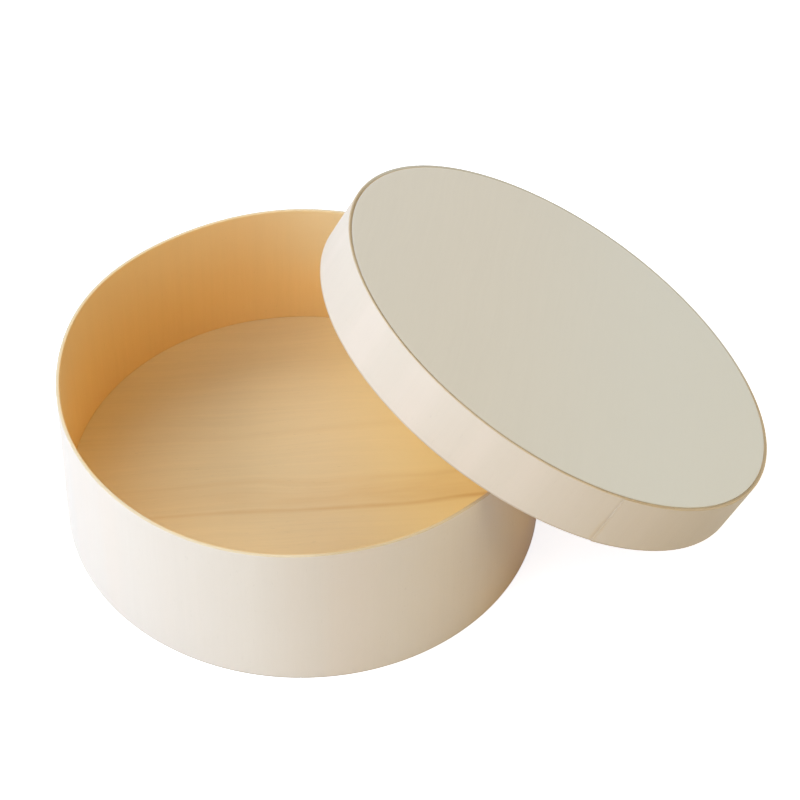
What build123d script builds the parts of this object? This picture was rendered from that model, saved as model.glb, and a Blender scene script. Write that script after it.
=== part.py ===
from build123d import *
import os
from math import cos, degrees, radians, sin

# A round bent-wood cheese box with its lid leaning on it, in millimetres.
# Origin: centre of the box's lower edge. +Z is up, and the lid leans on the +X side.

# Box
BASE_DIAMETER = 200.0     # outside of the box's band
BASE_HEIGHT = 73.0        # width of the box's band
FOOT_RIM = 6.0            # how far the bottom board is set up inside the band

# Stock
VENEER = 1.6              # thickness of the bent bands
BOARD = 4.0               # thickness of the two round boards
EDGE_BREAK = 0.3          # sanded arris of bands and boards

# Lap where a band's two ends are glued
LAP_LENGTH = 26.0         # overlap, measured round the outside
LAP_TIP = 0.5             # thickness left at each pared end
LAP_STEP = 0.3            # how far the outer end stands proud of the wall
GLUE_LINE = 0.1           # gap that the glue fills, in laps and round boards
BASE_LAP_ANGLE = 20.0     # where the box's outer end lies, counted from +X

# Lid
LID_HEIGHT = 24.0         # width of the lid's band
LID_CLEARANCE = 0.6       # play between the closed lid and the box, on the radius
LID_LAP_ANGLE = -97.4     # where the lid's outer end lies, counted from the low side

# How the lid leans
LEAN_ANGLE = 29.8         # between the lid and the table
SEAT_GAP = 0.3            # between the box's rim and the underside of the lid's board
SIDE_SHIFT = -2.6         # how far the lid lies off centre, along Y

BASE_RADIUS = BASE_DIAMETER / 2
BASE_INNER_RADIUS = BASE_RADIUS - VENEER
LID_INNER_RADIUS = BASE_RADIUS + LID_CLEARANCE
LID_RADIUS = LID_INNER_RADIUS + VENEER


def polar(radius, angle):
    """A point in plan, angle in degrees."""
    return (radius * cos(radians(angle)), radius * sin(radians(angle)))


def arc_between(radius_1, angle_1, radius_2, angle_2):
    """A shallow arc that eases from one radius to another."""
    middle = polar((radius_1 + radius_2) / 2, (angle_1 + angle_2) / 2)
    return ThreePointArc(polar(radius_1, angle_1), middle, polar(radius_2, angle_2))


def band_plan(inner_radius):
    """Plan of a bent band: a ring whose two pared ends pass each other in a lap.

    The outer end's tip is at angle 0 and the lap runs on counterclockwise. Each end
    thins to LAP_TIP over the lap, and a glue line keeps them apart all the way.
    """
    outer_radius = inner_radius + VENEER
    lap = degrees(LAP_LENGTH / outer_radius)
    joint = degrees(GLUE_LINE / outer_radius)
    proud_radius = outer_radius + LAP_STEP
    outer_tip_radius = proud_radius - LAP_TIP
    inner_tip_radius = inner_radius + LAP_TIP
    with BuildSketch() as plan:
        with BuildLine():
            # outside of the wall
            arc_between(proud_radius, 0, outer_radius, lap)
            CenterArc((0, 0), outer_radius, lap, 360 - joint - lap)
            # inner end, pared on its outside
            Line(polar(outer_radius, -joint), polar(outer_tip_radius - GLUE_LINE, -joint))
            arc_between(outer_tip_radius - GLUE_LINE, -joint, inner_tip_radius, lap)
            Line(polar(inner_tip_radius, lap), polar(inner_radius, lap))
            # inside of the wall
            CenterArc((0, 0), inner_radius, lap, joint - 360)
            # outer end, pared on its inside
            Line(
                polar(inner_radius, lap + joint),
                polar(inner_tip_radius + GLUE_LINE, lap + joint),
            )
            arc_between(inner_tip_radius + GLUE_LINE, lap + joint, outer_tip_radius, 0)
            Line(polar(outer_tip_radius, 0), polar(proud_radius, 0))
        make_face()
    return plan.sketch


def bent_band(inner_radius, width, lap_angle):
    """A veneer band bent round the Z axis, from z = 0 up."""
    band = extrude(band_plan(inner_radius), width)
    lower = band.edges().group_by(Axis.Z)[0]
    upper = band.edges().group_by(Axis.Z)[-1]
    long_arcs = [edge for edge in lower + upper if edge.length > inner_radius]
    return Rot(0, 0, lap_angle) * chamfer(long_arcs, EDGE_BREAK)


def round_board(hoop_inner_radius):
    """A board turned to fit inside a band, from z = 0 up."""
    board = extrude(Circle(hoop_inner_radius - GLUE_LINE), BOARD)
    return chamfer(board.edges(), EDGE_BREAK)


def lean(part):
    """Carry a piece of the lid from upright, centred on the Z axis, to where it leans.

    The lid's lowest edge stands on the table, z = 0, and the underside of its board
    comes to SEAT_GAP above the outer edge of the box's rim. Both edges are broken.
    """
    tilt = radians(LEAN_ANGLE)
    edge_loss = EDGE_BREAK * min(sin(tilt), cos(tilt))
    lower_centre_height = LID_RADIUS * sin(tilt) - edge_loss
    rim_reach = BASE_RADIUS * sin(tilt) + BASE_HEIGHT * cos(tilt) - edge_loss
    along_axis = rim_reach + SEAT_GAP - (LID_HEIGHT - BOARD)
    lower_centre_x = (along_axis - lower_centre_height * cos(tilt)) / sin(tilt)
    place = Pos(lower_centre_x, SIDE_SHIFT, lower_centre_height)
    return place * Rot(0, LEAN_ANGLE, 0) * part


def base_hoop():
    return bent_band(BASE_INNER_RADIUS, BASE_HEIGHT, BASE_LAP_ANGLE)


def base_bottom():
    return Pos(0, 0, FOOT_RIM) * round_board(BASE_INNER_RADIUS)


def lid_hoop():
    return lean(bent_band(LID_INNER_RADIUS, LID_HEIGHT, LID_LAP_ANGLE))


def lid_top():
    return lean(Pos(0, 0, LID_HEIGHT - BOARD) * round_board(LID_INNER_RADIUS))


def main():
    os.makedirs("parts", exist_ok=True)
    for make in (base_hoop, base_bottom, lid_hoop, lid_top):
        export_step(make(), f"parts/{make.__name__}.step")


main()
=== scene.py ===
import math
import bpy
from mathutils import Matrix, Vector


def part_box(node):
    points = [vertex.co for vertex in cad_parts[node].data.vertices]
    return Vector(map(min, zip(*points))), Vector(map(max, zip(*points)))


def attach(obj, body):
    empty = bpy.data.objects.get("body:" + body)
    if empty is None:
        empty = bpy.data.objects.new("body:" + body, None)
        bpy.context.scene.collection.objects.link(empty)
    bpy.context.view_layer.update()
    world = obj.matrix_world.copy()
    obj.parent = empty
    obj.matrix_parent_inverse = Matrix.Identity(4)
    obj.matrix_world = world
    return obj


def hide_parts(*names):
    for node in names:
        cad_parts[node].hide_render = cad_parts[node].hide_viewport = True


bl_info = {
    "name": "Round cheese box",
    "version": (1, 0, 0),
    "blender": (4, 5, 0),
    "location": "3D View > Sidebar > Cheese Box",
    "description": "A round box of bent veneer with its lid leaning on it",
    "category": "Object",
}

import bpy
from bpy.props import FloatProperty, FloatVectorProperty, IntProperty, PointerProperty
from bpy.types import Operator, Panel, PropertyGroup
from mathutils import Color, Euler, Matrix, Vector

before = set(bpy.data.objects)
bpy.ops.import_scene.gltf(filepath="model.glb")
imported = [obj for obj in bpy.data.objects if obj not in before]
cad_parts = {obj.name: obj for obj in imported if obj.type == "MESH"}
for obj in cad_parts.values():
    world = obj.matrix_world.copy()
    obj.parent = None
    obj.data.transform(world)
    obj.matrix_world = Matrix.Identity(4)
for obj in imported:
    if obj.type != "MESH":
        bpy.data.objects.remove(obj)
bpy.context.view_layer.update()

MM = 0.001

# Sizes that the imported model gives, in metres
BAND_LOW, BAND_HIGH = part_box("base_hoop")
FLOOR_LOW, FLOOR_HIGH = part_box("base_bottom")
PANEL_LOW, PANEL_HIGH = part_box("lid_top")
BOX_RADIUS = -BAND_LOW.x
BOX_HEIGHT = BAND_HIGH.z
FLOOR_RADIUS = FLOOR_HIGH.x
BOARD = FLOOR_HIGH.z - FLOOR_LOW.z
PANEL_RADIUS = (PANEL_HIGH.y - PANEL_LOW.y) / 2
PANEL_CENTRE = (PANEL_LOW + PANEL_HIGH) / 2

# Stock, lap and lean, as they were built
GLUE_LINE = 0.1 * MM
VENEER = BOX_RADIUS - FLOOR_RADIUS - GLUE_LINE
LAP_LENGTH = 26 * MM
LAP_TIP = 0.5 * MM
LAP_STEP = 0.3 * MM
BOX_LAP_ANGLE = math.radians(20)
LID_LAP_ANGLE = math.radians(-97.4)
LID_HEIGHT = 24 * MM
LEAN = math.radians(29.8)

# Rounding of the bands' arrises, which stands in for the chamfers that were built
EDGE_BREAK = 0.42 * MM
ARRIS_LIMIT = 0.4         # most of a pared end's thickness that its arris may take

# How fine the meshes are
LAP_COLUMNS = 48
WALL_COLUMNS = 960
BOX_ROWS = 31
LID_ROWS = 21
THROUGH_ROWS = 7
BOARD_SIDES = 360
BOARD_RINGS = 26
ROUNDING_ROWS = 2
ROW_SPREAD = 1.4          # over 1, rows lie closer together towards the edges
SHARP_ANGLE = math.radians(40)
TINY = 1e-6               # keeps a divisor off nothing

# How the box's free rim strays from a true circle: waves round the rim, height, crest
RIM_WAVES = (
    (4, 0.24 * MM, math.radians(-40)),
    (5, 0.32 * MM, math.radians(-2)),
    (7, 0.21 * MM, math.radians(-20)),
)
# Where the box's free rim is pushed in: middle, half width, depth
RIM_PUSH = (math.radians(-70), math.radians(46), 2.1 * MM)
# The rim lies true under the lid: cosines of the directions where the warp ends and is full
LID_SIDE = (0.75, 0.4)
# How far from the board that holds it a band strays in full
FREE_REACH = 45 * MM

# Noise that nicks the cut edges: blob size along and through, detail, roughness, and the
# values where a nick starts and is deepest
NICK_SIZE = (1.6 * MM, 1.2 * MM)
NICK_GRAIN = (3.0, 0.7)
NICK_ONSET = (0.56, 0.78)
# Noise that sways the free edges: blob size round and up, detail, and another seed
SWAY_SIZE = (24 * MM, 90 * MM)
SWAY_DETAIL = 1.0
SWAY_SEED = 7

# Stretches of each band that differ from the rest of it: middle, counted from the outer
# end's tip, half length, and how softly they end. On the box, the stretches of lighter wood
# inside and out are painted light and its tinted stretch is painted warm bounce light from
# the lid; the lid's tinted stretch is painted shade. The edge stretches are the wood's own.
BOX_STRETCHES = {
    "pale edge": (205 * MM, 210 * MM, 10 * MM),
    "pared edge": (333 * MM, 15.5 * MM, 0.5 * MM),
    "painted light inside": (80 * MM, 22 * MM, 28 * MM),
    "painted light outside": (389 * MM, 10 * MM, 34 * MM),
    "tinted": (526 * MM, 14 * MM, 32 * MM),
}
LID_STRETCHES = {
    "pale edge": (296 * MM, 122 * MM, 22 * MM),
    "tinted": (94 * MM, 54 * MM, 30 * MM),
}

# Two heights, and the share of the tint at each of them in a band's tinted stretch, which is
# painted warm bounce light on the box and painted shade on the lid
PAINTED_LIGHT_HEIGHTS = (6 * MM, 48 * MM)
BOX_PAINTED_BOUNCE_SHARES = (0.16, 0.42)
LID_PAINTED_SHADE_SHARES = (0.28, 0.28)

NOISE_MIDDLE = 0.5
# Noise in the wood: blob size across, through and along the grain in millimetres, detail,
# roughness, and a shift that tells the kinds apart
VENEER_NOISE = {
    "fibre": (0.45, 0.45, 16, 3.0, 0.6, 0),
    "streak": (2.6, 2.6, 150, 3.0, 0.55, 11),
    "band": (30, 12, 500, 1.0, 0.5, 23),
    "blush": (21, 12, 300, 1.0, 0.5, 37),
    "fleck": (0.7, 0.7, 3.2, 1.0, 0.5, 51),
    "grit": (0.5, 0.35, 60, 3.0, 0.7, 71),
    "patch": (60, 40, 500, 2.0, 0.55, 83),
}
WANDER_NOISE = (26, 60, 70, 1.0, 0.5, 5)
BOARD_NOISE = {
    "fibre": (0.5, 0.5, 14, 3.0, 0.6, 0),
    "streak": (1.7, 1.7, 70, 3.0, 0.6, 11),
    "band": (13, 12, 260, 2.0, 0.5, 23),
    "cloud": (24, 24, 60, 1.0, 0.5, 37),
    "fleck": (0.6, 0.6, 3.4, 1.0, 0.5, 51),
    "broken": (5, 12, 38, 2.0, 0.6, 61),
}
# Noise that is cut to patches: values where a patch starts and is full
ONSETS = {
    "fleck": (0.70, 0.80), "blush": (0.45, 0.7), "patch": (0.32, 0.62), "broken": (0.25, 0.7),
}
# How much each kind of noise darkens the wood, raises its grain and dulls it
VENEER_DARK = {"fibre": 0.30, "streak": 0.42, "band": 0.40, "fleck": 0.30}
VENEER_RAISED = {"fibre": 0.5, "streak": 0.35, "fleck": -0.6, "edge": 0.25, "edge grit": 0.5}
VENEER_DULL = {"fibre": 0.16, "edge": 0.1}
BOARD_DARK = {"fibre": 0.55, "streak": 0.80, "band": 0.45, "cloud": 0.20, "fleck": 0.25}
BOARD_RAISED = {"fibre": 0.5, "streak": 0.4, "fleck": -0.5}
BOARD_DULL = {"fibre": 0.14, "late": -0.06}

# Lightest and darkest tone that a face or a cut edge gets, against its own colour
OUTER_TONES = (1.03, 0.89)
INNER_TONES = (1.06, 0.82)
RIM_TONES = (1.08, 0.92)
BOARD_TONES = (1.05, 0.8)
# Where plain wood lies between the two, and how much more a band's inner face varies
PLAIN_TONE = 0.3
INNER_PLAIN_TONE = 0.35
INNER_CONTRAST = 1.3

# Changes of a band's colour with its height: share, and heights where it starts and is full.
# The smear is glue; the others are painted light and shade: light at the top of the box's
# inner face and on a stretch of it, shade low on that stretch near the floor, and shade along
# the band's foot
BY_HEIGHT = {
    "painted light at top": (0.42, 25 * MM, 75 * MM),
    "painted light inside": (0.33, 24 * MM, 56 * MM),
    "painted shade inside": (0.35, 36 * MM, 12 * MM),
    "smear": (0.3, 15 * MM, 7 * MM),
    "foot": (0.4, 1.0 * MM, 0.5 * MM),
}
# How dark the painted shade low inside the box is, and the shares of the painted light on the
# box's outside and of the rosy blush
DIM_SHADE = 0.72
PAINTED_LIGHT_OUTSIDE_SHARE = 0.27
BLUSH_SHARE = 0.3

# Share of the thickness where one face's colour gives way to the other's
FACE_TURN = (0.3, 0.7)
# Share of an arris's width where the face gives way to the cut edge
EDGE_TURN = (0.45, 0.95)
# Brown core of a cut edge: place in the thickness, the distances from there where it starts
# and is full, and its strength off and on the patches
CORE_PLACE = 0.31
CORE_FADE = (0.42, 0.16)
CORE_PATCHES = (0.6, 1.0)
# Golden fringe at the inner side of the box's cut edge: share, places in the thickness where
# it starts and is full, shade
FRINGE_SHARE = 0.6
FRINGE_FADE = (0.6, 0.1)
FRINGE_SHADE = 0.9
# Distances from a lap's outer tip where the outer face's colour starts to turn in over the
# tip and is full
TIP_FADE = (0.3 * MM, 0.1 * MM)
# Glue at that tip: its place, and the distances from there where its line and its smear
# start and are full. The line is partly glue and partly painted shade in the lap's gap.
GLUE_PLACE = -0.4 * MM
GLUE_AND_GAP_SHADE_FADE = (1.3 * MM, 0.2 * MM)
GLUE_AND_GAP_SHADE_SHARE = 0.14
SMEAR_FADE = (2.4 * MM, 0.3 * MM)
# Grit where the smear starts to catch and is full
SMEAR_GRIT = (-0.3, 0.2)

# Parts of a board's grain attribute
ACROSS = 0
ALONG = 2

# Second colour of each board's upper face: share, the part of "grain" that it follows,
# and the places where it starts and is full. On the floor it is painted golden bounce light
# from the lid; on the panel it is a cooler tone.
FLOOR_PAINTED_BOUNCE = (0.8, ALONG, 0.0, 75 * MM)
PANEL_FADE = (0.7, ACROSS, 55 * MM, -65 * MM)
# How strongly each board is figured
FLOOR_FIGURED = 1.0
PANEL_FIGURED = 0.35

# How far a board's grain wanders from straight
GRAIN_WANDER = 9 * MM
# Growth lines on the box's floor: place across the grain, half width, strength
GROWTH_LINES = (
    (-18.5 * MM, 1.2 * MM, 0.70),
    (-3.0 * MM, 1.4 * MM, 0.26),
    (-11.5 * MM, 7.5 * MM, 0.40),
    (26 * MM, 1.8 * MM, 0.12),
)
# How far a line fades out, in half widths, and its strength where it breaks and where it
# doesn't, and at two places along the grain
LINE_FADE = 1.8
LINE_BREAKS = (0.5, 1.1)
LINE_PLACES = (-70 * MM, 50 * MM)
LINE_STRENGTHS = (0.4, 1.15)
LINE_SHARE = 0.55

# What each later piece adds to the seed, for its wood and for its nicks
FLOOR_WOOD = 2
LID_BAND_WOOD = 5
LID_PANEL_WOOD = 9
LID_BAND_NICKS = 1

WHITE = (1, 1, 1, 1)
REFRACTION = 1.45

# The table's side, and the part of the studio's lit reach where it starts to whiten
TABLE_SIDE = 12.0
LIT_START = 0.35
# Where the table shines gold under the lid: centre, and where that starts to fade and ends
WARM_CARD = (106 * MM, -62 * MM)
WARM_CARD_FADE = (30 * MM, 84 * MM)

# Soft square lamps round the box: azimuth, elevation, name of the studio's tint
LAMP_DISTANCE = 1.6
LAMP_SIZE = 1.2
LAMPS = {
    "left": (-170, 20, "cool_tint"),
    "high": (-165, 50, "cool_tint"),
    "corner": (150, 35, "back_tint"),
    "back": (90, 45, "back_tint"),
    "front": (-125, 20, "front_tint"),
    "right": (-25, 45, "warm_tint"),
}
LAMP_AIM = Vector((0.05, 0, 0.05))

# Photograph's view, from a picture 800 pixels wide and high
CAMERA_PLACE = (-0.16466, -0.63420, 0.72368)
CAMERA_AIM = (0.05543, 0.04200, 0.0)
CAMERA_ROLL = math.radians(2.16)
CAMERA_LENS = 102.5
SENSOR_WIDTH = 36


def paint(red, green, blue):
    """Scene-linear colour of an 8-bit screen colour."""
    return tuple(Color((red / 255, green / 255, blue / 255)).from_srgb_to_scene_linear())


def length(name, description, default):
    """A property that holds a length in metres."""
    return FloatProperty(
        name=name, description=description, default=default,
        min=0, precision=5, subtype="DISTANCE", unit="LENGTH",
    )


def angle(name, description, default):
    """A property that holds an angle."""
    return FloatProperty(
        name=name, description=description, default=default,
        subtype="ANGLE", unit="ROTATION",
    )


def share(name, description, default):
    """A property that runs from nothing to one."""
    return FloatProperty(
        name=name, description=description, default=default, min=0, max=1, subtype="FACTOR",
    )


def amount(name, description, default):
    """A property that holds a number from nothing up."""
    return FloatProperty(name=name, description=description, default=default, min=0)


def colour(name, description, default):
    """A property that holds a colour."""
    return FloatVectorProperty(
        name=name, description=description, default=default,
        size=3, min=0, max=1, subtype="COLOR",
    )


class CheeseBoxStock(PropertyGroup):
    """Veneer and board that all four pieces are cut from."""

    veneer: length("Veneer", "Thickness of the bent bands", VENEER)
    edge_break: length("Edge break", "Sanded arris of the bands", EDGE_BREAK)
    glue_line: length("Glue line", "Gap that the glue fills", GLUE_LINE)
    lap_joint: length("Lap joint", "Gap left open at a lap's tip", 0.03 * MM)
    board_edge: length("Board edge", "Sanded arris of the two boards", 0.14 * MM)
    floor_joint: length("Floor joint", "Gap left open round the box's floor", 0.03 * MM)
    lap_length: length("Lap", "Overlap where a band's ends are glued", LAP_LENGTH)
    lap_tip: length("Lap tip", "Thickness left at each pared end", LAP_TIP)
    lap_step: length("Lap step", "How far the outer end stands proud", LAP_STEP)
    sway: length("Sway", "How far a band's free edge sways in and out", 0.12 * MM)
    nick: length("Nicks", "Depth of the nicks along cut edges", 0.45 * MM)


class CheeseBoxBase(PropertyGroup):
    """The box itself."""

    radius: length("Radius", "Outside of the box's band", BOX_RADIUS)
    height: length("Height", "Width of the box's band", BOX_HEIGHT)
    foot: length("Foot rim", "How far the floor is set up inside the band", FLOOR_LOW.z)
    floor_radius: length("Floor radius", "Outside of the round floor", FLOOR_RADIUS)
    lap_angle: angle("Lap at", "Where the outer end lies, from +X", BOX_LAP_ANGLE)
    grain_angle: angle("Floor grain", "Direction of the floor's grain, from +X", math.radians(-10))


class CheeseBoxLid(PropertyGroup):
    """The lid, which leans on the box's rim."""

    height: length("Height", "Width of the lid's band", LID_HEIGHT)
    panel_radius: length("Panel radius", "Outside of the lid's round panel", PANEL_RADIUS)
    lap_angle: angle("Lap at", "Where the outer end lies, from the low side", LID_LAP_ANGLE)
    lean: angle("Lean", "Between the lid and the table", LEAN)
    grain_angle: angle("Panel grain", "Direction of the panel's grain", math.radians(62))


class CheeseBoxFinish(PropertyGroup):
    """Colours and surface of the bare wood, and the colours that paint light and shade on it."""

    outside: colour("Outside", "Outer face of the box's band", paint(226, 216, 206))
    # Painted light on a stretch of the box's outside
    painted_light_outside: colour("Pale face", "Outside of the box where it is lighter", paint(245, 239, 230))
    # Painted warm bounce light from the lid on the box's outside
    painted_warm_bounce: colour("Warm face", "Outside of the box where it is golden", paint(248, 212, 100))
    lid_outside: colour("Lid outside", "Outer face of the lid's band", paint(219, 206, 191))
    # Painted shade on a stretch of the lid's outside
    lid_painted_shade: colour("Lid shade", "Outside of the lid where it is duller", paint(160, 150, 125))
    inside: colour("Inside", "Inner face of both bands", paint(246, 206, 141))
    # Painted light on a stretch of the box's inside
    painted_light_inside: colour("Light face", "Inside of the box where it is lighter", paint(238, 230, 190))
    # Also painted light at the top of the box's inner face
    pale_rim: colour("Pale rim", "Box's cut edge where it is pale", paint(222, 205, 176))
    pale_lid_rim: colour("Pale lid rim", "Lid's cut edge where it is pale", paint(202, 198, 189))
    box_rim: colour("Box rim", "Cut edge of the box's band", paint(204, 184, 150))
    lid_rim: colour("Lid rim", "Cut edge of the lid's band", paint(210, 192, 167))
    lid_ring: colour("Lid ring", "Dark middle of the lid's cut edge", paint(168, 150, 122))
    core: colour("Core", "Brown middle of a cut edge", paint(166, 140, 106))
    box_core: share("Box core", "Strength of the brown in the box's rim", 0.3)
    lid_core: share("Lid core", "Strength of the brown in the lid's rim", 0.85)
    floor: colour("Floor", "Upper face of the box's floor", paint(237, 212, 162))
    # Painted golden bounce light from the lid on the box's floor
    gold: colour("Gold", "Floor towards the lid, where it is most golden", paint(252, 228, 153))
    panel: colour("Panel", "Upper face of the lid's panel", paint(223, 220, 215))
    cool_panel: colour("Cool panel", "Lid's panel at its cooler side", paint(221, 225, 226))
    growth: colour("Growth lines", "Late wood in the boards", paint(206, 154, 74))
    blush: colour("Blush", "Rosy patches of the veneer", paint(230, 214, 201))
    glue: colour("Glue", "Stain where a lap was glued", paint(212, 184, 134))
    fibre: share("Fibre", "Strength of the fine fibres", 0.5)
    figure: share("Figure", "Strength of broad streaks and bands", 0.5)
    relief: length("Relief", "Height of the raised grain", 0.06 * MM)
    roughness: share("Roughness", "How dull the sanded wood is", 0.62)


class CheeseBoxStudio(PropertyGroup):
    """Stage, light and camera."""

    left_power: amount("Left", "Power of the low lamp on the left, in watts", 13.9)
    high_power: amount("High", "Power of the high lamp on the left, in watts", 8.9)
    corner_power: amount("Corner", "Power of the lamp behind on the left, in watts", 6.5)
    back_power: amount("Back", "Power of the lamp behind, in watts", 12.9)
    front_power: amount("Front", "Power of the low lamp in front, in watts", 9.0)
    right_power: amount("Right", "Power of the lamp on the right, in watts", 12.8)
    cool_tint: colour("Cool tint", "Colour of the lamps on the left", (0.68, 0.815, 1.0))
    back_tint: colour("Back tint", "Colour of the lamps behind", (0.86, 0.93, 1.0))
    front_tint: colour("Front tint", "Colour of the lamp in front", (1.0, 0.87, 0.61))
    warm_tint: colour("Warm tint", "Colour of the lamp on the right", (1.0, 0.815, 0.46))
    sky: colour("Sky", "Colour of the light from all round", (1.0, 0.86, 0.68))
    sky_strength: amount("Sky strength", "Strength of the light from all round", 0.03)
    table: colour("Table", "Colour of the floor that the box stands on", paint(214, 214, 216))
    glow: colour("Glow", "White that is added where the table is seen", (0.9, 0.94, 1.0))
    table_lift: amount("Table lift", "How much of that white is added near the box", 0.85)
    card: colour("Card", "Gold that the table shines up under the lid", (0.9, 0.56, 0.1))
    lit_reach: length("Lit reach", "How far from the box the table turns plain white", 1.4)
    lens: amount("Lens", "Focal length of the camera, in millimetres", CAMERA_LENS)


class CheeseBoxSettings(PropertyGroup):
    """Everything that a user may change."""

    stock: PointerProperty(type=CheeseBoxStock)
    base: PointerProperty(type=CheeseBoxBase)
    lid: PointerProperty(type=CheeseBoxLid)
    finish: PointerProperty(type=CheeseBoxFinish)
    studio: PointerProperty(type=CheeseBoxStudio)
    seed: IntProperty(name="Seed", description="Picks another piece of wood", default=3)


# Node trees written as sums


def sum_method(operation, reflected=False):
    """A method that adds a Math node for one of Python's operators."""

    def method(wire, value):
        sides = (value, wire) if reflected else (wire, value)
        return wire.net.math(operation, *sides)

    return method


class Wire:
    """An output socket that takes part in Python sums."""

    def __init__(self, net, socket):
        self.net = net
        self.socket = socket

    def other(self, name):
        """Another output of the same node."""
        return Wire(self.net, find_socket(self.socket.node.outputs, name))

    __add__ = sum_method("ADD")
    __radd__ = sum_method("ADD", reflected=True)
    __sub__ = sum_method("SUBTRACT")
    __rsub__ = sum_method("SUBTRACT", reflected=True)
    __mul__ = sum_method("MULTIPLY")
    __rmul__ = sum_method("MULTIPLY", reflected=True)
    __truediv__ = sum_method("DIVIDE")
    __rtruediv__ = sum_method("DIVIDE", reflected=True)
    __pow__ = sum_method("POWER")
    __gt__ = sum_method("GREATER_THAN")
    __lt__ = sum_method("LESS_THAN")


def find_socket(sockets, key):
    """A node's socket by its number, identifier or name."""
    if isinstance(key, int):
        return sockets[key]
    for socket in sockets:
        if key == socket.identifier:
            return socket
    return sockets[key]


class Net:
    """A node tree under construction."""

    def __init__(self, tree):
        self.tree = tree
        self.entries = None
        tree.nodes.clear()

    def node(self, kind, settings=None, values=(), out=0):
        """Add a node, set it up, fill or link its sockets, and return one output."""
        made = self.tree.nodes.new(kind)
        for name, value in (settings or {}).items():
            setattr(made, name, value)
        pairs = values.items() if isinstance(values, dict) else enumerate(values)
        for key, value in pairs:
            socket = find_socket(made.inputs, key)
            if isinstance(value, Wire):
                self.tree.links.new(value.socket, socket)
            else:
                socket.default_value = value
        return Wire(self, find_socket(made.outputs, out)) if made.outputs else made

    def math(self, operation, *values):
        return self.node("ShaderNodeMath", {"operation": operation}, values)

    def vector(self, operation, *values):
        return self.node("ShaderNodeVectorMath", {"operation": operation}, values)

    def least(self, one, other):
        return self.math("MINIMUM", one, other)

    def most(self, one, other):
        return self.math("MAXIMUM", one, other)

    def clamp(self, value, low=0.0, high=1.0):
        """The value, kept between two others."""
        return self.least(self.most(value, low), high)

    def length(self, x, y):
        """How far a place in a plane lies from the origin."""
        return self.math("SQRT", x * x + y * y)

    def smooth(self, value, start, end):
        """Nothing at start, one at end, and an even curve between."""
        return self.node(
            "ShaderNodeMapRange", {"interpolation_type": "SMOOTHSTEP"},
            {"Value": value, "From Min": start, "From Max": end},
        )

    def between(self, part, start, end):
        """A number part of the way from start to end."""
        return start + (end - start) * part

    def join(self, x, y, z):
        """A vector of three numbers."""
        return self.node("ShaderNodeCombineXYZ", values=(x, y, z))

    def split(self, vector):
        """The three numbers of a vector."""
        x = self.node("ShaderNodeSeparateXYZ", values=(vector,))
        return x, x.other("Y"), x.other("Z")

    def noise(self, vector, detail=2.0, roughness=0.5):
        """Soft random values, about NOISE_MIDDLE, whose blobs are one unit of the vector wide."""
        return self.node(
            "ShaderNodeTexNoise",
            values={"Vector": vector, "Scale": 1.0, "Detail": detail, "Roughness": roughness},
        )

    def blend(self, part, start, end):
        """A colour part of the way from start to end."""
        return self.node(
            "ShaderNodeMix", {"data_type": "RGBA"},
            {"Factor_Float": part, "A_Color": start, "B_Color": end}, "Result_Color",
        )

    def entry(self, name, default=0.0, kind="NodeSocketFloat", subtype="NONE"):
        """A named input of a geometry tree."""
        item = self.tree.interface.new_socket(name=name, in_out="INPUT", socket_type=kind)
        if kind == "NodeSocketFloat":
            item.subtype = subtype
        if kind != "NodeSocketMaterial":
            item.default_value = default
        if self.entries is None:
            self.entries = self.tree.nodes.new("NodeGroupInput")
        return Wire(self, self.entries.outputs[name])

    def size(self, name, default):
        """A named input that holds a length."""
        return self.entry(name, default, subtype="DISTANCE")

    def store(self, geometry, name, vector):
        """Keep a vector on the mesh's points."""
        return self.node(
            "GeometryNodeStoreNamedAttribute", {"data_type": "FLOAT_VECTOR", "domain": "POINT"},
            {"Geometry": geometry, "Name": name, "Value": vector},
        )

    def finish(self, geometry, material):
        """Smooth the mesh, give it its material and hand it over."""
        smooth = self.node("GeometryNodeSetShadeSmooth", values={"Geometry": geometry})
        real = self.node("GeometryNodeRealizeInstances", values={"Geometry": smooth})
        dressed = self.node(
            "GeometryNodeSetMaterial", values={"Geometry": real, "Material": material}
        )
        self.tree.interface.new_socket(
            name="Geometry", in_out="OUTPUT", socket_type="NodeSocketGeometry"
        )
        self.node("NodeGroupOutput", values={"Geometry": dressed})
        return self.tree


# Shapes


def edge_distance(net, row, half_rows, half_size, edge):
    """How far a row lies from the edge it is nearest to.

    The first rows share out the broken arris evenly, and the rest spread to the middle.
    """
    turn = math.pi / 4 / ROUNDING_ROWS
    left = net.most(ROUNDING_ROWS - row, 0)
    on_arris = edge * (1 - net.math("TANGENT", left * turn))
    past = net.most(row - ROUNDING_ROWS, 0) / (half_rows - ROUNDING_ROWS)
    return on_arris + (half_size - edge) * past ** ROW_SPREAD


def across_section(net, step, steps, size, edge):
    """Where a row lies between two opposite edges."""
    row = net.least(step, steps - step)
    distance = edge_distance(net, row, steps / 2, size / 2, edge)
    far = step > steps / 2
    return net.between(far, distance, size - distance)


def round_arris(net, place, size, edge):
    """Pull the corners of a rectangular section in to a rounded arris."""
    core = [net.clamp(at, edge, extent - edge) for at, extent in zip(place, size)]
    out = [at - middle for at, middle in zip(place, core)]
    pull = net.least(edge / net.most(net.length(*out), TINY), 1)
    return [middle + off * pull for middle, off in zip(core, out)]


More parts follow.
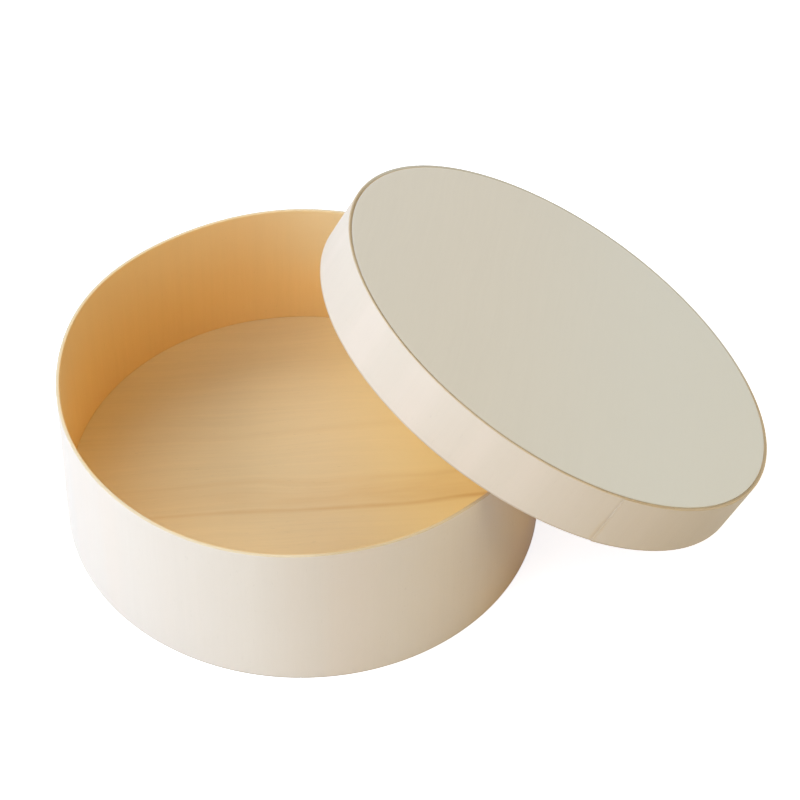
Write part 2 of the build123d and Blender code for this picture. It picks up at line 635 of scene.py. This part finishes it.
def rim_warp(net, theta):
    """How far outwards the box's free rim strays in each direction."""
    warp = 0
    for count, height, crest in RIM_WAVES:
        warp = warp + height * net.math("COSINE", count * (theta - crest))
    middle, half_width, push = RIM_PUSH
    away = net.math("ARCCOSINE", net.math("COSINE", theta - middle))
    warp = warp - push * net.smooth(away, half_width, 0)
    return warp * net.smooth(net.math("COSINE", theta), *LID_SIDE)


def nicked(net, way, through, seed):
    """Where a cut edge is nicked, from nothing to one where the nick is deepest."""
    along, deep = NICK_SIZE
    chips = net.noise(net.join(way / along, through / deep, seed), *NICK_GRAIN)
    return net.smooth(chips, *NICK_ONSET)


def band_tree():
    """Geometry Nodes tree of a bent band.

    A block is wrapped round into a ring. Its first columns are the outer end, pared on
    its inside, and its last columns are the inner end, pared on its outside.
    """
    net = Net(bpy.data.node_groups.new("Bent band", "GeometryNodeTree"))
    inner = net.size("Inner radius", BOX_RADIUS - VENEER)
    width = net.size("Width", BOX_HEIGHT)
    veneer = net.size("Veneer", VENEER)
    edge = net.size("Edge break", EDGE_BREAK)
    lap_length = net.size("Lap length", LAP_LENGTH)
    tip = net.size("Lap tip", LAP_TIP)
    step = net.size("Lap step", LAP_STEP)
    glue = net.size("Glue line", GLUE_LINE)
    gap = net.size("Lap joint", GLUE_LINE)
    lap_angle = net.entry("Lap angle", 0.0, subtype="ANGLE")
    held_low = net.size("Held from", 0.0)
    held_high = net.size("Held to", BOARD)
    wave = net.entry("Rim wave", 0.0)
    sway = net.size("Sway", 0.0)
    nick = net.size("Nick depth", 0.0)
    rows = net.entry("Rows", BOX_ROWS, "NodeSocketInt")
    seed = net.entry("Seed", 0.0)
    material = net.entry("Material", kind="NodeSocketMaterial")

    wall_start = LAP_COLUMNS + 1
    inner_start = wall_start + WALL_COLUMNS + 1
    columns = inner_start + LAP_COLUMNS
    block = net.node("GeometryNodeMeshCube", values={
        "Size": (1, 1, 1), "Vertices X": columns + 1,
        "Vertices Y": THROUGH_ROWS, "Vertices Z": rows,
    })
    x, y, z = net.split(net.node("GeometryNodeInputPosition"))
    column = net.math("ROUND", (x + 0.5) * columns)
    through_step = net.math("ROUND", (0.5 - y) * (THROUGH_ROWS - 1))
    up_step = net.math("ROUND", (z + 0.5) * (rows - 1))

    # Way round the band
    outer = inner + veneer
    lap = lap_length / outer
    joint = gap / outer
    on_outer_end = net.clamp(column / LAP_COLUMNS)
    on_wall = net.clamp((column - wall_start) / WALL_COLUMNS)
    on_inner_end = net.clamp((column - inner_start) / LAP_COLUMNS)
    past_outer_end = column > wall_start - 0.5
    past_wall = column > inner_start - 0.5
    shoulder = joint / 2
    wall_turn = 2 * math.pi - lap - 2 * joint - 2 * shoulder
    turn = (
        (lap + joint) * (on_outer_end + on_inner_end)
        + shoulder * (past_outer_end + past_wall)
        + wall_turn * on_wall
    )

    # Both faces of the band there
    proud = outer + step
    wall_face = outer + step * (1 - net.least(turn / lap, 1))
    pared_outside = net.between(on_inner_end, proud - tip - glue, inner + tip)
    outside = net.between(past_wall, wall_face, pared_outside)
    pared_inside = net.between(on_outer_end, proud - tip, inner + tip + glue)
    inside = net.between(past_outer_end, pared_inside, inner)
    thick = outside - inside

    # Section
    arris = net.least(edge, thick * ARRIS_LIMIT)
    through = across_section(net, through_step, THROUGH_ROWS - 1, thick, arris)
    up = across_section(net, up_step, rows - 1, width, arris)
    edge_share = 1 - net.clamp(net.least(up, width - up) / arris)
    through, up = round_arris(net, (through, up), (thick, width), arris)

    # Nicks in the cut edges, and the sway of the free edge
    way = turn * outer
    depth = nick * nicked(net, way, through, seed) * edge_share
    up = net.between(up > width / 2, up + depth, up - depth)
    free = net.most(net.most(up - held_high, held_low - up), 0)
    freedom = net.smooth(free, 0, FREE_REACH)
    rolling = net.noise(
        net.join(way / SWAY_SIZE[0], up / SWAY_SIZE[1], seed + SWAY_SEED), SWAY_DETAIL
    )
    theta = turn + lap_angle
    warp = rim_warp(net, theta) * wave
    radius = inside + through + freedom * (warp - sway * rolling)

    # What the finish reads is kept before the block is bent
    grained = net.store(block, "grain", net.join(way, through, up))
    from_tip = net.between(on_wall > 0.5, way, way - 2 * math.pi * outer)
    skinned = net.store(grained, "skin", net.join(through / thick, edge_share, from_tip))
    place = net.join(
        radius * net.math("COSINE", theta), radius * net.math("SINE", theta), up
    )
    bent = net.node("GeometryNodeSetPosition", values={"Geometry": skinned, "Position": place})
    return net.finish(bent, material)


def board_tree():
    """Geometry Nodes tree of a round board with broken arrises."""
    net = Net(bpy.data.node_groups.new("Round board", "GeometryNodeTree"))
    radius = net.size("Radius", FLOOR_RADIUS)
    thick = net.size("Thickness", BOARD)
    edge = net.size("Edge break", EDGE_BREAK)
    grain_angle = net.entry("Grain angle", 0.0, subtype="ANGLE")
    material = net.entry("Material", kind="NodeSocketMaterial")

    disc = net.node(
        "GeometryNodeMeshCylinder", {"fill_type": "TRIANGLE_FAN"}, {
            "Vertices": BOARD_SIDES, "Side Segments": THROUGH_ROWS - 1,
            "Fill Segments": BOARD_RINGS, "Radius": 1.0, "Depth": 1.0,
        }, "Mesh",
    )
    x, y, z = net.split(net.node("GeometryNodeInputPosition"))
    out = net.length(x, y)
    ring = net.math("ROUND", (1 - out) * BOARD_RINGS)
    up_step = net.math("ROUND", (z + 0.5) * (THROUGH_ROWS - 1))
    from_rim = edge_distance(net, ring, BOARD_RINGS, radius, edge)
    up = across_section(net, up_step, THROUGH_ROWS - 1, thick, edge)
    inward = net.most(from_rim, 0)
    reach, up = round_arris(net, (2 * radius - inward, up), (2 * radius, thick), edge)
    reach = reach - radius
    unit = net.most(out, TINY)
    east = x / unit * reach
    north = y / unit * reach
    cosine = net.math("COSINE", grain_angle)
    sine = net.math("SINE", grain_angle)
    grain = net.join(north * cosine - east * sine, up, east * cosine + north * sine)
    grained = net.store(disc, "grain", grain)
    skinned = net.store(grained, "skin", net.join(up / thick, 0, 0))
    cut = net.node("GeometryNodeSetPosition", values={
        "Geometry": skinned, "Position": net.join(east, north, up),
    })
    return net.finish(cut, material)


def grow(name, tree, values, place):
    """Object whose mesh a geometry tree makes from named inputs, laid in its place."""
    piece = bpy.data.objects.new(name, bpy.data.meshes.new(name))
    bpy.context.scene.collection.objects.link(piece)
    modifier = piece.modifiers.new(tree.name, "NODES")
    modifier.node_group = tree
    keys = {
        item.name: item.identifier
        for item in tree.interface.items_tree if item.in_out == "INPUT"
    }
    for label, value in values.items():
        modifier[keys[label]] = value
    depsgraph = bpy.context.evaluated_depsgraph_get()
    mesh = bpy.data.meshes.new_from_object(
        piece.evaluated_get(depsgraph), preserve_all_data_layers=True, depsgraph=depsgraph
    )
    if not mesh.polygons:
        raise RuntimeError(f"{name} came out empty")
    piece.modifiers.remove(modifier)
    blank = piece.data
    piece.data = mesh
    bpy.data.meshes.remove(blank)
    mesh.name = name
    mesh.transform(place)
    mesh.set_sharp_from_angle(angle=SHARP_ANGLE)
    return piece


def lid_place(lid, from_panel):
    """Matrix from the lid's own frame, centred on its axis, to where it leans.

    from_panel is where the panel's middle lies along the axis in that frame.
    """
    turn = Matrix.Rotation(lid.lean, 4, "Y")
    centre = Matrix.Translation(PANEL_CENTRE)
    return centre @ turn @ Matrix.Translation((0, 0, -from_panel))


# Finishes


def shaded(tint, factor=1):
    """A colour made lighter or darker, with the alpha that a socket needs."""
    return tuple(min(level * factor, 1) for level in tint) + (1,)


class Wood(Net):
    """Shader tree of a piece of bare wood, with its grain in real sizes."""

    def __init__(self, name, seed):
        self.material = bpy.data.materials.new(name)
        self.material.use_nodes = True
        super().__init__(self.material.node_tree)
        self.grain = self.attribute("grain")
        self.outward, self.edge, self.from_tip = self.split(self.attribute("skin"))
        self.seed = seed

    def attribute(self, name):
        """A vector that is kept on the mesh's points."""
        return self.node(
            "ShaderNodeAttribute",
            {"attribute_type": "GEOMETRY", "attribute_name": name}, out="Vector",
        )

    def figure(self, row, onset=None):
        """Noise from a row of figures, which lies about nothing.

        With an onset it is cut to patches instead, from nothing to one.
        """
        *sizes, detail, roughness, shift = row
        scale = tuple(1 / (size * MM) for size in sizes)
        spread = self.vector("MULTIPLY", self.grain, scale)
        moved = self.vector("ADD", spread, (self.seed + shift, shift, self.seed))
        noise = self.noise(moved, detail, roughness)
        return self.smooth(noise, *onset) if onset else noise - NOISE_MIDDLE

    def figures(self, table):
        """Every kind of noise in a table."""
        return {kind: self.figure(row, ONSETS.get(kind)) for kind, row in table.items()}

    def near(self, value, place, fade):
        """One at a place; fade holds the distances from there where it starts and is full."""
        return self.smooth(self.math("ABSOLUTE", value - place), *fade)

    def stretch(self, way, place):
        """One within a stretch, nothing outside it."""
        middle, half_length, fade = place
        return self.near(way, middle, (half_length + fade, half_length - fade))

    def toned(self, part, tint, tones):
        """A colour part of the way from its lightest tone to its darkest."""
        light, dark = tones
        return self.blend(part, shaded(tint, light), shaded(tint, dark))

    def tinted(self, face, part, tint, factor=1):
        """A face with another colour laid over part of it."""
        return self.blend(part, face, shaded(tint, factor))

    def close(self, base, roughness, height, relief):
        """Principled surface with the grain raised by relief."""
        normal = self.node("ShaderNodeBump", values={
            "Strength": 1.0, "Distance": relief, "Height": height,
        })
        surface = self.node("ShaderNodeBsdfPrincipled", values={
            "Base Color": base, "Roughness": roughness, "Normal": normal, "IOR": REFRACTION,
        })
        self.node("ShaderNodeOutputMaterial", values={"Surface": surface})
        return self.material


def weigh(weights, noises):
    """Sum of the kinds of noise that have a weight, each times its own."""
    return sum(weight * noises[kind] for kind, weight in weights.items())


def darkening(finish, weights, noises):
    """How much darker than plain the noises make the wood, lighter if under nothing."""
    strengths = {"fibre": finish.fibre, "streak": finish.figure, "band": finish.figure}
    weights = {kind: weight * strengths.get(kind, 1) for kind, weight in weights.items()}
    return weigh(weights, noises)


def veneer_finish(name, finish, look, seed):
    """Peeled veneer: upright fibres, soft streaks, broad pale bands and small flecks.

    look holds the band's colours, shares and stretches, painted light and shade among them.
    """
    wood = Wood(name, seed)
    way, _, up = wood.split(wood.grain)
    stretches = look["stretches"]
    noises = wood.figures(VENEER_NOISE)
    grit = noises["grit"]
    noises["edge"] = wood.edge
    noises["edge grit"] = wood.edge * grit

    def by_height(change):
        """Share of a change of colour at this height."""
        share, start, full = BY_HEIGHT[change]
        return share * wood.smooth(up, start, full)

    # Both faces
    dark = darkening(finish, VENEER_DARK, noises)
    outer = wood.toned(wood.clamp(PLAIN_TONE + dark), look["outside"], OUTER_TONES)
    outer = wood.tinted(outer, BLUSH_SHARE * noises["blush"], finish.blush)
    inner_tone = wood.clamp(INNER_PLAIN_TONE + dark * INNER_CONTRAST)
    inner = wood.toned(inner_tone, finish.inside, INNER_TONES)
    # Painted light at the top of the inner face
    inner = wood.tinted(inner, by_height("painted light at top"), finish.pale_rim)
    # Painted light on a stretch of the box's inner face with painted shade low on it, and painted
    # light on a stretch of its outer face
    if "painted light inside" in stretches:
        here = wood.stretch(way, stretches["painted light inside"])
        inner = wood.tinted(inner, here * by_height("painted light inside"), finish.painted_light_inside)
        inner = wood.tinted(inner, here * by_height("painted shade inside"), finish.inside, DIM_SHADE)
        pale = PAINTED_LIGHT_OUTSIDE_SHARE * wood.stretch(way, stretches["painted light outside"])
        outer = wood.tinted(outer, pale, finish.painted_light_outside)
    # Painted light in the tinted stretch: warm bounce from the lid on the box, shade on the lid
    painted_share = wood.between(wood.smooth(up, *PAINTED_LIGHT_HEIGHTS), *look["painted_light_and_shade_shares"])
    painted_share = wood.stretch(way, stretches["tinted"]) * painted_share
    outer = wood.tinted(outer, painted_share, look["tint"])
    outer_side = wood.most(
        wood.smooth(wood.outward, *FACE_TURN), wood.near(wood.from_tip, 0, TIP_FADE)
    )
    face = wood.blend(outer_side, inner, outer)

    # Cut edge
    cut = wood.toned(grit + NOISE_MIDDLE, look["rim"], RIM_TONES)
    core = wood.near(wood.outward, CORE_PLACE, CORE_FADE)
    core = core * wood.between(noises["patch"], *CORE_PATCHES) * look["core_share"]
    cut = wood.tinted(cut, core, look["core"])
    cut = wood.tinted(cut, wood.stretch(way, stretches["pale edge"]), look["pale_rim"])
    if "pared edge" in stretches:
        unpared = 1 - wood.stretch(way, stretches["pared edge"])
        fringe = FRINGE_SHARE * wood.smooth(wood.outward, *FRINGE_FADE) * unpared
        cut = wood.tinted(cut, fringe, finish.inside, FRINGE_SHADE)

    # Glue, with painted shade in the lap's gap and along the band's foot
    smear = wood.near(wood.from_tip, GLUE_PLACE, SMEAR_FADE) * by_height("smear")
    smear = smear * wood.smooth(grit, *SMEAR_GRIT)
    face = wood.tinted(face, smear * wood.outward, finish.glue)
    # The line is partly glue and partly painted shade in the lap's gap; the foot is painted shade
    line = GLUE_AND_GAP_SHADE_SHARE * wood.near(wood.from_tip, GLUE_PLACE, GLUE_AND_GAP_SHADE_FADE)
    glue_and_painted_shade = wood.most(line, by_height("foot")) * wood.outward
    base = wood.blend(wood.smooth(wood.edge, *EDGE_TURN), face, cut)
    base = wood.tinted(base, glue_and_painted_shade, finish.core)
    roughness = finish.roughness + weigh(VENEER_DULL, noises)
    return wood.close(base, roughness, weigh(VENEER_RAISED, noises), finish.relief)


def board_finish(name, finish, look, seed):
    """A sanded board: long fine grain that wanders a little, with darker growth lines.

    look holds the board's colours, shares and growth lines, and the floor's painted light.
    """
    wood = Wood(name, seed)
    across, through, along = wood.split(wood.grain)
    bent = across + wood.figure(WANDER_NOISE) * GRAIN_WANDER
    wood.grain = wood.join(bent, through, along)
    noises = wood.figures(BOARD_NOISE)

    late = 0.0
    for place, half_width, strength in look["lines"]:
        late = late + strength * wood.near(bent, place, (LINE_FADE * half_width, 0))
    late = late * wood.between(noises["broken"], *LINE_BREAKS)
    late = late * wood.between(wood.smooth(along, *LINE_PLACES), *LINE_STRENGTHS)
    noises["late"] = late

    dark = look["figured"] * darkening(finish, BOARD_DARK, noises)
    tone = wood.clamp(PLAIN_TONE + dark)
    upper, lower = (wood.toned(tone, look[side], BOARD_TONES) for side in ("upper", "lower"))
    upper_side = wood.smooth(wood.outward, *FACE_TURN)
    # The floor's second colour is painted golden bounce light from the lid
    share, part, start, full = look["fade"]
    fading = wood.smooth((across, through, along)[part], start, full) * share
    face = wood.blend(upper_side, lower, upper)
    face = wood.tinted(face, fading * upper_side, look["second"])
    base = wood.tinted(face, wood.clamp(LINE_SHARE * late), finish.growth)
    roughness = finish.roughness + weigh(BOARD_DULL, noises)
    return wood.close(base, roughness, weigh(BOARD_RAISED, noises), finish.relief)


# Operators


def settings():
    """The cheese box's own settings in this scene."""
    return bpy.context.scene.cheese_box


def band_values(box, inner_radius, width, lap_angle):
    """Inputs that both bands share."""
    stock = box.stock
    return {
        "Inner radius": inner_radius, "Width": width, "Veneer": stock.veneer,
        "Edge break": stock.edge_break, "Lap length": stock.lap_length,
        "Lap tip": stock.lap_tip, "Lap step": stock.lap_step,
        "Glue line": stock.glue_line, "Lap joint": stock.lap_joint, "Lap angle": lap_angle,
        "Sway": stock.sway, "Nick depth": stock.nick,
    }


def board_values(box, radius, grain_angle, material):
    """Inputs that both boards share."""
    return {
        "Radius": radius, "Thickness": BOARD, "Edge break": box.stock.board_edge,
        "Grain angle": grain_angle, "Material": material,
    }


class CHEESEBOX_OT_box_band(Operator):
    """Bend the box's band, whose rim strays a little from round"""

    bl_idname = "cheese_box.box_band"
    bl_label = "Box Band"

    def execute(self, context):
        box = settings()
        base = box.base
        finish = box.finish
        # The box's tint is painted warm bounce light from the lid
        look = {
            "outside": finish.outside, "rim": finish.box_rim, "pale_rim": finish.pale_rim,
            "core": finish.core, "core_share": finish.box_core, "tint": finish.painted_warm_bounce,
            "painted_light_and_shade_shares": BOX_PAINTED_BOUNCE_SHARES, "stretches": BOX_STRETCHES,
        }
        values = band_values(box, base.radius - box.stock.veneer, base.height, base.lap_angle)
        values.update({
            "Held from": base.foot, "Held to": base.foot + BOARD, "Rim wave": 1.0,
            "Rows": BOX_ROWS, "Seed": float(box.seed),
            "Material": veneer_finish("box_veneer", finish, look, box.seed),
        })
        piece = grow("box_band", band_tree(), values, Matrix.Identity(4))
        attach(piece, "box")
        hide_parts("base_hoop")
        return {"FINISHED"}


class CHEESEBOX_OT_box_floor(Operator):
    """Cut the box's round floor, set up inside its band"""

    bl_idname = "cheese_box.box_floor"
    bl_label = "Box Floor"

    def execute(self, context):
        box = settings()
        finish = box.finish
        # The floor's second colour is painted golden bounce light from the lid
        look = {
            "upper": finish.floor, "lower": finish.outside, "second": finish.gold,
            "fade": FLOOR_PAINTED_BOUNCE, "lines": GROWTH_LINES, "figured": FLOOR_FIGURED,
        }
        material = board_finish("box_floor_wood", finish, look, box.seed + FLOOR_WOOD)
        radius = box.base.floor_radius + box.stock.glue_line - box.stock.floor_joint
        values = board_values(box, radius, box.base.grain_angle, material)
        place = Matrix.Translation((0, 0, box.base.foot))
        piece = grow("box_floor", board_tree(), values, place)
        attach(piece, "box")
        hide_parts("base_bottom")
        return {"FINISHED"}


class CHEESEBOX_OT_lid_band(Operator):
    """Bend the lid's band, and lean it on the box"""

    bl_idname = "cheese_box.lid_band"
    bl_label = "Lid Band"

    def execute(self, context):
        box = settings()
        lid = box.lid
        finish = box.finish
        # The lid's tint is painted shade
        look = {
            "outside": finish.lid_outside, "rim": finish.lid_rim,
            "pale_rim": finish.pale_lid_rim, "core": finish.lid_ring,
            "core_share": finish.lid_core, "tint": finish.lid_painted_shade,
            "painted_light_and_shade_shares": LID_PAINTED_SHADE_SHARES, "stretches": LID_STRETCHES,
        }
        material = veneer_finish("lid_veneer", finish, look, box.seed + LID_BAND_WOOD)
        inner_radius = lid.panel_radius + box.stock.glue_line
        values = band_values(box, inner_radius, lid.height, lid.lap_angle)
        values.update({
            "Held from": lid.height - BOARD, "Held to": lid.height, "Rim wave": 0.0,
            "Rows": LID_ROWS, "Seed": float(box.seed + LID_BAND_NICKS), "Material": material,
        })
        piece = grow("lid_band", band_tree(), values, lid_place(lid, lid.height - BOARD / 2))
        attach(piece, "lid")
        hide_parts("lid_hoop")
        return {"FINISHED"}


class CHEESEBOX_OT_lid_panel(Operator):
    """Cut the lid's round panel, flush with its band"""

    bl_idname = "cheese_box.lid_panel"
    bl_label = "Lid Panel"

    def execute(self, context):
        box = settings()
        finish = box.finish
        look = {
            "upper": finish.panel, "lower": finish.inside, "second": finish.cool_panel,
            "fade": PANEL_FADE, "lines": (), "figured": PANEL_FIGURED,
        }
        material = board_finish("lid_panel_wood", finish, look, box.seed + LID_PANEL_WOOD)
        values = board_values(box, box.lid.panel_radius, box.lid.grain_angle, material)
        piece = grow("lid_panel", board_tree(), values, lid_place(box.lid, BOARD / 2))
        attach(piece, "lid")
        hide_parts("lid_top")
        return {"FINISHED"}


def soft_lamp(name, azimuth, elevation, power, tint):
    """A large square lamp that faces the box."""
    data = bpy.data.lights.new(name, "AREA")
    data.size = LAMP_SIZE
    data.energy = power
    data.color = tint
    lamp = bpy.data.objects.new(name, data)
    bpy.context.scene.collection.objects.link(lamp)
    turn = Euler((0, -math.radians(elevation), math.radians(azimuth)))
    towards = Vector((1, 0, 0))
    towards.rotate(turn)
    lamp.location = LAMP_AIM + LAMP_DISTANCE * towards
    lamp.rotation_euler = (-towards).to_track_quat("-Z", "Y").to_euler()
    lamp.visible_camera = False


def seen(net):
    """One where a ray comes from the camera, a reflection or through glass."""
    camera = net.node("ShaderNodeLightPath", out="Is Camera Ray")
    glossy = camera.other("Is Glossy Ray")
    through_glass = camera.other("Is Transmission Ray")
    return net.clamp(camera + glossy + through_glass)


def table_finish(studio):
    """White table that keeps the box's shadow, with a gold patch that only lights the box."""
    material = bpy.data.materials.new("table")
    material.use_nodes = True
    net = Net(material.node_tree)
    x, y, _ = net.split(net.node("ShaderNodeTexCoord", out="Object"))
    in_sight = seen(net)
    beyond = net.smooth(net.length(x - WARM_CARD[0], y - WARM_CARD[1]), *WARM_CARD_FADE)
    plain = net.most(beyond, in_sight)
    matte = net.node("ShaderNodeBsdfDiffuse", values={
        "Color": net.blend(plain, shaded(studio.card), shaded(studio.table)),
    })
    far = net.smooth(net.length(x, y), LIT_START * studio.lit_reach, studio.lit_reach)
    glow = net.node("ShaderNodeEmission", values={
        "Color": net.blend(far, shaded(studio.glow), WHITE),
        "Strength": in_sight * net.between(far, studio.table_lift, 1),
    })
    both = net.node("ShaderNodeAddShader", values=(matte, glow))
    net.node("ShaderNodeOutputMaterial", values={"Surface": both})
    return material


def sky(studio):
    """Even light from all round, seen as plain white."""
    world = bpy.data.worlds.new("studio")
    world.use_nodes = True
    net = Net(world.node_tree)
    tint = net.blend(seen(net), shaded(studio.sky, studio.sky_strength), WHITE)
    background = net.node("ShaderNodeBackground", values={"Color": tint, "Strength": 1.0})
    net.node("ShaderNodeOutputWorld", values={"Surface": background})
    bpy.context.scene.world = world


class CHEESEBOX_OT_stage(Operator):
    """Set out the table, the soft lights and the camera"""

    bl_idname = "cheese_box.stage"
    bl_label = "Stage"

    def execute(self, context):
        studio = settings().studio
        half = TABLE_SIDE / 2
        mesh = bpy.data.meshes.new("table")
        corners = [(-half, -half, 0), (half, -half, 0), (half, half, 0), (-half, half, 0)]
        mesh.from_pydata(corners, [], [(0, 1, 2, 3)])
        mesh.materials.append(table_finish(studio))
        table = bpy.data.objects.new("table", mesh)
        context.scene.collection.objects.link(table)
        sky(studio)
        for side, (azimuth, elevation, tint) in LAMPS.items():
            power = getattr(studio, f"{side}_power")
            soft_lamp(f"{side}_lamp", azimuth, elevation, power, getattr(studio, tint))

        data = bpy.data.cameras.new("camera")
        data.sensor_width = SENSOR_WIDTH
        data.lens = studio.lens
        camera = bpy.data.objects.new("camera", data)
        context.scene.collection.objects.link(camera)
        camera.location = CAMERA_PLACE
        look = (Vector(CAMERA_AIM) - Vector(CAMERA_PLACE)).to_track_quat("-Z", "Y")
        roll = Matrix.Rotation(CAMERA_ROLL, 3, "Z")
        camera.rotation_euler = (look.to_matrix() @ roll).to_euler()
        context.scene.camera = camera
        context.scene.view_settings.view_transform = "Standard"
        return {"FINISHED"}


class CHEESEBOX_PT_panel(Panel):
    """Sizes, finish and buttons of the cheese box"""

    bl_idname = "CHEESEBOX_PT_panel"
    bl_label = "Cheese Box"
    bl_space_type = "VIEW_3D"
    bl_region_type = "UI"
    bl_category = "Cheese Box"

    def draw(self, context):
        box = context.scene.cheese_box
        for group in (box.stock, box.base, box.lid, box.finish, box.studio):
            column = self.layout.column(align=True)
            for name in group.bl_rna.properties.keys():
                if name not in ("rna_type", "name"):
                    column.prop(group, name)
        self.layout.prop(box, "seed")
        for operator in OPERATORS:
            self.layout.operator(operator.bl_idname)


OPERATORS = (
    CHEESEBOX_OT_stage,
    CHEESEBOX_OT_box_band,
    CHEESEBOX_OT_box_floor,
    CHEESEBOX_OT_lid_band,
    CHEESEBOX_OT_lid_panel,
)
CLASSES = (
    CheeseBoxStock, CheeseBoxBase, CheeseBoxLid, CheeseBoxFinish, CheeseBoxStudio,
    CheeseBoxSettings, CHEESEBOX_PT_panel,
) + OPERATORS


def register():
    for each in CLASSES:
        bpy.utils.register_class(each)
    bpy.types.Scene.cheese_box = PointerProperty(type=CheeseBoxSettings)


def unregister():
    del bpy.types.Scene.cheese_box
    for each in reversed(CLASSES):
        bpy.utils.unregister_class(each)


def main():
    register()
    bpy.ops.cheese_box.stage()
    bpy.ops.cheese_box.box_band()
    bpy.ops.cheese_box.box_floor()
    bpy.ops.cheese_box.lid_band()
    bpy.ops.cheese_box.lid_panel()


if __name__ == "__main__":
    main()
